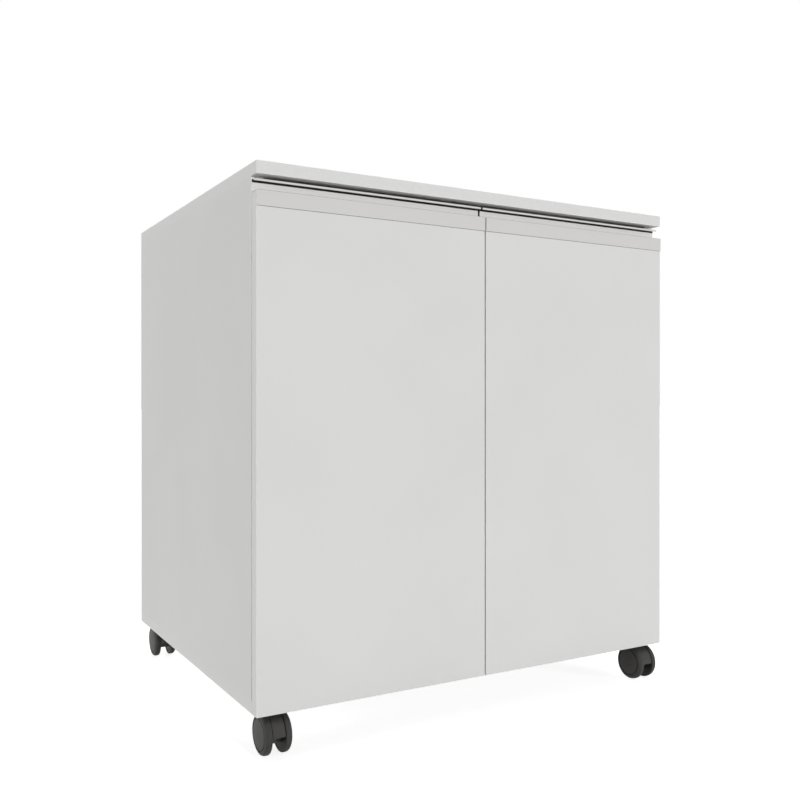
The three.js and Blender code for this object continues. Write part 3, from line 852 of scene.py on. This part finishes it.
def caster_plate(node):
    """A pressed plate with rounded corners and four countersunk holes, and the screws' places in it."""
    low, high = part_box(node)
    middle = box_middle(node)
    middle.z = low.z
    shape = bmesh.new()
    bmesh.ops.create_grid(shape, x_segments=1, y_segments=1, size=(high.x - low.x) / 2)
    bmesh.ops.translate(shape, vec=middle, verts=shape.verts)
    bmesh.ops.bevel(shape, geom=shape.verts[:], offset=PLATE_CORNER * MM, offset_type="OFFSET",
                    affect="VERTICES", segments=PLATE_SEGMENTS, profile=0.5, material=-1)
    thicken(shape, Z * (high.z - low.z))
    rim = [e for e in sharp_edges(shape) if max(v.co.z for v in e.verts) < low.z + WELD]
    ease(shape, rim, PLATE_ROUNDING, PLATE_ROUNDING_SEGMENTS)
    spots = [middle + Vector((x, y, 0)) * PLATE_SCREW_REACH * MM for x in (-1, 1) for y in (-1, 1)]
    for spot in spots:
        sink = turned((
            (-HOLE_DEPTH, 0, 0),
            (-HOLE_DEPTH, HOLE_RADIUS, 0),
            (-SINK_DEPTH, HOLE_RADIUS, 0),
            (SINK_OVERRUN, SINK_RADIUS, 0),
            (SINK_OVERRUN, 0, 0),
        ), ROD_STEPS)
        shape = boolean(shape, aim(sink, -Z, spot), "DIFFERENCE")
    return shape, spots


def kingpin():
    """A kingpin with its flange on the origin, which goes down along +X."""
    return turned((
        (0, 0, 0),
        (0, KINGPIN_FLANGE_RADIUS, 0),
        (KINGPIN_FLANGE, KINGPIN_FLANGE_RADIUS, 0.4),
        (KINGPIN_FLANGE, KINGPIN_RADIUS, 0.3),
        (KINGPIN_LENGTH, KINGPIN_RADIUS, 0.8),
        (KINGPIN_LENGTH, 0, 0),
    ))


def make_caster(place, sign, trail):
    body = f"{place}_caster"
    plate, spots = caster_plate(f"{body}_plate")
    make_piece(plate, f"{body}_plate_pressing", (ZINC,), "carcass", [f"{body}_plate"])
    heads = [aim(countersunk_head(), -Z, spot) for spot in spots]
    make_piece(together(heads), f"{body}_plate_screws", (ZINC,), "carcass", rounded=True)

    axis = box_middle(f"{body}_plate")
    axis.z = 0
    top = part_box(f"{body}_kingpin")[1].z
    make_piece(aim(kingpin(), -Z, axis + Z * top), f"{body}_kingpin_turning", (ZINC,), "carcass",
               [f"{body}_kingpin"], True)

    shape = housing()
    bmesh.ops.scale(shape, vec=(1, trail, 1), verts=shape.verts)
    bmesh.ops.translate(shape, vec=axis, verts=shape.verts)
    bmesh.ops.recalc_face_normals(shape, faces=shape.faces)
    make_piece(shape, f"{body}_housing_moulding", (NYLON,), body, [f"{body}_housing"])

    low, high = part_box(f"{body}_axle")
    half = (high.x - low.x) / 2 / MM
    axle = turned((
        (-half, 0, 0),
        (-half, AXLE_RADIUS, AXLE_ROUNDING),
        (half, AXLE_RADIUS, AXLE_ROUNDING),
        (half, 0, 0),
    ))
    make_piece(aim(axle, X, (low + high) / 2), f"{body}_axle_turning", (ZINC,), body,
               [f"{body}_axle"], True)

    for which, outward in (("outer", sign), ("inner", -sign)):
        node = f"{place}_{which}_wheel"
        inner = box_middle(node)
        inner.x -= outward * WHEEL_WIDTH / 2 * MM
        make_piece(aim(twin_wheel(), outward * X, inner), f"{node}_moulding", (WHEEL,), node,
                   [node], True)


def make_casters():
    for end, trail in ENDS.items():
        for side, sign in SIDES.items():
            make_caster(f"{end}_{side}", sign, trail)


# Light and floor

LAMPS = (
    # name, turn to the right of the doors' normal, height above the horizon, strength, angular size
    ("key_lamp", 35, 5, 2.03, 1.5),
    ("left_lamp", -84, 16, 0.45, 8),
    ("low_left_lamp", -84, 3.5, 0.76, 2),
    ("back_lamp", 165, 14, 1.5, 8),
    ("top_lamp", 180, 86, 1.74, 8),
)
WHITE = (1, 1, 1, 1)
AMBIENT = 0.12
FLOOR_COLOUR = "#d2d2d2"
FLOOR_GLOW, FLOOR_SHEEN = 0.85, 0.45
FLOOR_METRES = 40


def make_lamps():
    """Lamps that light matt surfaces. What shines mirrors the pale studio instead."""
    for name, turn, height, strength, size in LAMPS:
        lamp = bpy.data.objects.new(name, bpy.data.lights.new(name, "SUN"))
        lamp.data.energy = strength
        lamp.data.angle = math.radians(size)
        lamp.visible_glossy = False
        across, up = math.radians(turn), math.radians(height)
        towards = Vector((math.sin(across) * math.cos(up), -math.cos(across) * math.cos(up), math.sin(up)))
        lamp.rotation_euler = towards.to_track_quat("Z", "Y").to_euler()
        bpy.context.scene.collection.objects.link(lamp)


def background_rays(tree, straight, reflected):
    """How bright the background is for the camera's rays, and for those off metal or through glass.

    It is 0 for the rays that light the object.
    """
    rays = add_node(tree, "ShaderNodeLightPath").outputs
    bright = add_node(tree, "ShaderNodeMath", {1: straight}, {0: rays["Is Camera Ray"]}, operation="MULTIPLY")
    for kind in ("Is Glossy Ray", "Is Transmission Ray"):
        bright = add_node(tree, "ShaderNodeMath", {1: reflected}, {0: rays[kind], 2: bright.outputs[0]},
                          operation="MULTIPLY_ADD")
    return bright.outputs[0]


def make_world():
    world = bpy.data.worlds.new("studio")
    world.use_nodes = True
    tree = world.node_tree
    tree.nodes.clear()
    seen = background_rays(tree, 1, 1)
    plain = add_node(tree, "ShaderNodeBackground", {"Color": WHITE, "Strength": AMBIENT})
    white = add_node(tree, "ShaderNodeBackground", {"Color": WHITE, "Strength": 1})
    both = add_node(tree, "ShaderNodeMixShader",
                    links={0: seen, 1: plain.outputs["Background"], 2: white.outputs["Background"]})
    add_node(tree, "ShaderNodeOutputWorld", links={"Surface": both.outputs["Shader"]})
    bpy.context.scene.world = world


def make_floor():
    shape = bmesh.new()
    bmesh.ops.create_grid(shape, x_segments=1, y_segments=1, size=FLOOR_METRES)
    mesh = bpy.data.meshes.new("floor")
    shape.to_mesh(mesh)
    shape.free()
    material, tree = blank_material("pale_studio_floor")
    glow = background_rays(tree, FLOOR_GLOW, FLOOR_SHEEN)
    matt = add_node(tree, "ShaderNodeBsdfDiffuse", {"Color": srgb(FLOOR_COLOUR)})
    light = add_node(tree, "ShaderNodeEmission", {"Color": WHITE}, {"Strength": glow})
    both = add_node(tree, "ShaderNodeAddShader",
                    links={0: matt.outputs["BSDF"], 1: light.outputs["Emission"]})
    add_node(tree, "ShaderNodeOutputMaterial", links={"Surface": both.outputs["Shader"]})
    mesh.materials.append(material)
    floor = bpy.data.objects.new("floor", mesh)
    bpy.context.scene.collection.objects.link(floor)


# The scene

make_camera()
make_boards()
make_pulls()
make_hinges()
make_shelf_pins()
make_casters()
make_lamps()
make_world()
make_floor()
bpy.context.scene.view_settings.view_transform = "Standard"
